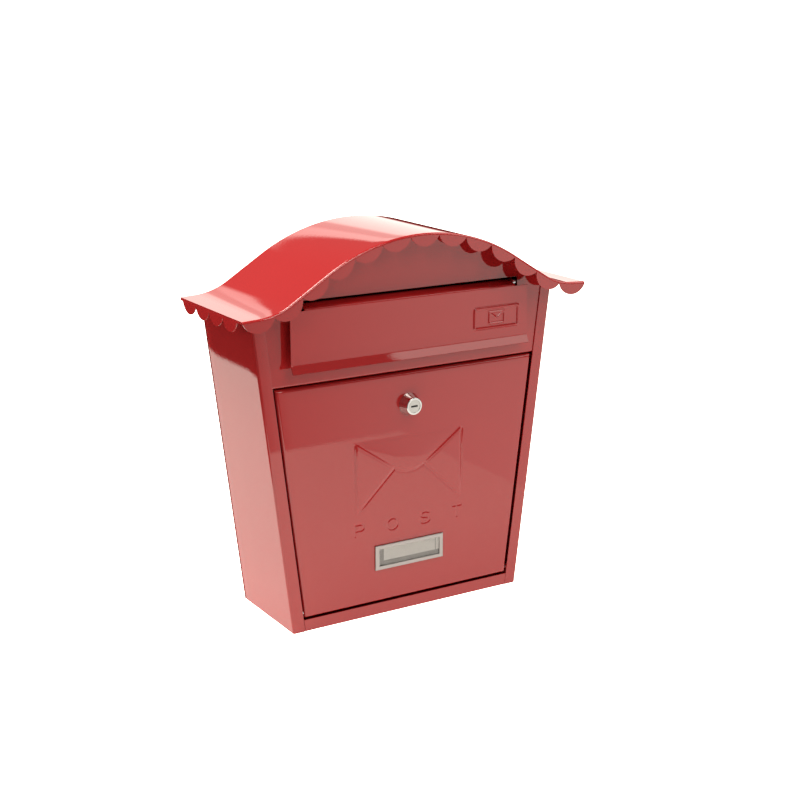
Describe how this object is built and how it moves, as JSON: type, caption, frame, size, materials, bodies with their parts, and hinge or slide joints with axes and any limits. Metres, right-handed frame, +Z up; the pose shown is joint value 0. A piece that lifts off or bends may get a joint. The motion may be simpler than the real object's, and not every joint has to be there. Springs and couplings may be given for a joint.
{
  "type": "wall-mounted post box",
  "caption": "Tapered sheet-steel post box with a scalloped arched roof, a top-hinged letter flap and a lockable drop-down door.",
  "frame": {"origin": "on the bottom face, midway across the overall width and the overall depth", "axes": "+X to the right seen from the front, the front faces -Y, +Z up"},
  "size_m": [0.361, 0.129, 0.3652],
  "materials": {
    "red_powder_coat": "glossy powder coat with a fine orange peel",
    "zinc_plated_steel": "bright zinc plating",
    "lock_chrome": "polished chrome",
    "lock_nickel": "satin nickel",
    "satin_aluminium": "satin",
    "clear_window": "clear plastic",
    "paper_card": "plain paper",
    "pad_rubber": "soft, matt"
  },
  "bodies": {
    "case": {"roof": "red_powder_coat", "left_side_panel": "red_powder_coat", "right_side_panel": "red_powder_coat", "back_panel": "red_powder_coat", "bottom_tray": "red_powder_coat", "upper_front_panel": "red_powder_coat", "flap_hinge_rod": "zinc_plated_steel", "rod_push_nuts": "zinc_plated_steel", "flap_bracket_left": "red_powder_coat", "flap_bracket_right": "red_powder_coat", "flap_stop_pads": "pad_rubber", "door_hinge_lug_left": "red_powder_coat", "door_hinge_lug_right": "red_powder_coat", "door_hinge_pin_left": "zinc_plated_steel", "door_hinge_pin_right": "zinc_plated_steel"},
    "flap": {"letter_flap": "red_powder_coat"},
    "door": {"door": "red_powder_coat", "lock_body": "lock_chrome", "lock_nut": "zinc_plated_steel", "lock_washer": "zinc_plated_steel", "nameplate_frame": "satin_aluminium", "nameplate_window": "clear_window", "name_card": "paper_card"},
    "lock": {"lock_plug": "lock_nickel", "lock_cam": "zinc_plated_steel", "cam_washer": "zinc_plated_steel", "cam_screw": "zinc_plated_steel"}
  },
  "joints": [
    {"name": "flap_hinge", "type": "hinge", "parent": "case", "child": "flap", "pos_m": [0, -0.0331, 0.30535], "axis": [-1, 0, 0], "range_deg": [0, 40]},
    {"name": "door_hinge", "type": "hinge", "parent": "case", "child": "door", "pos_m": [0, -0.0337, 0.0177], "axis": [1, 0, 0], "range_deg": [0, 90]},
    {"name": "lock_turn", "type": "hinge", "parent": "door", "child": "lock", "pos_m": [0, -0.0377, 0.2023], "axis": [0, -1, 0], "range_deg": [0, 90]}
  ]
}
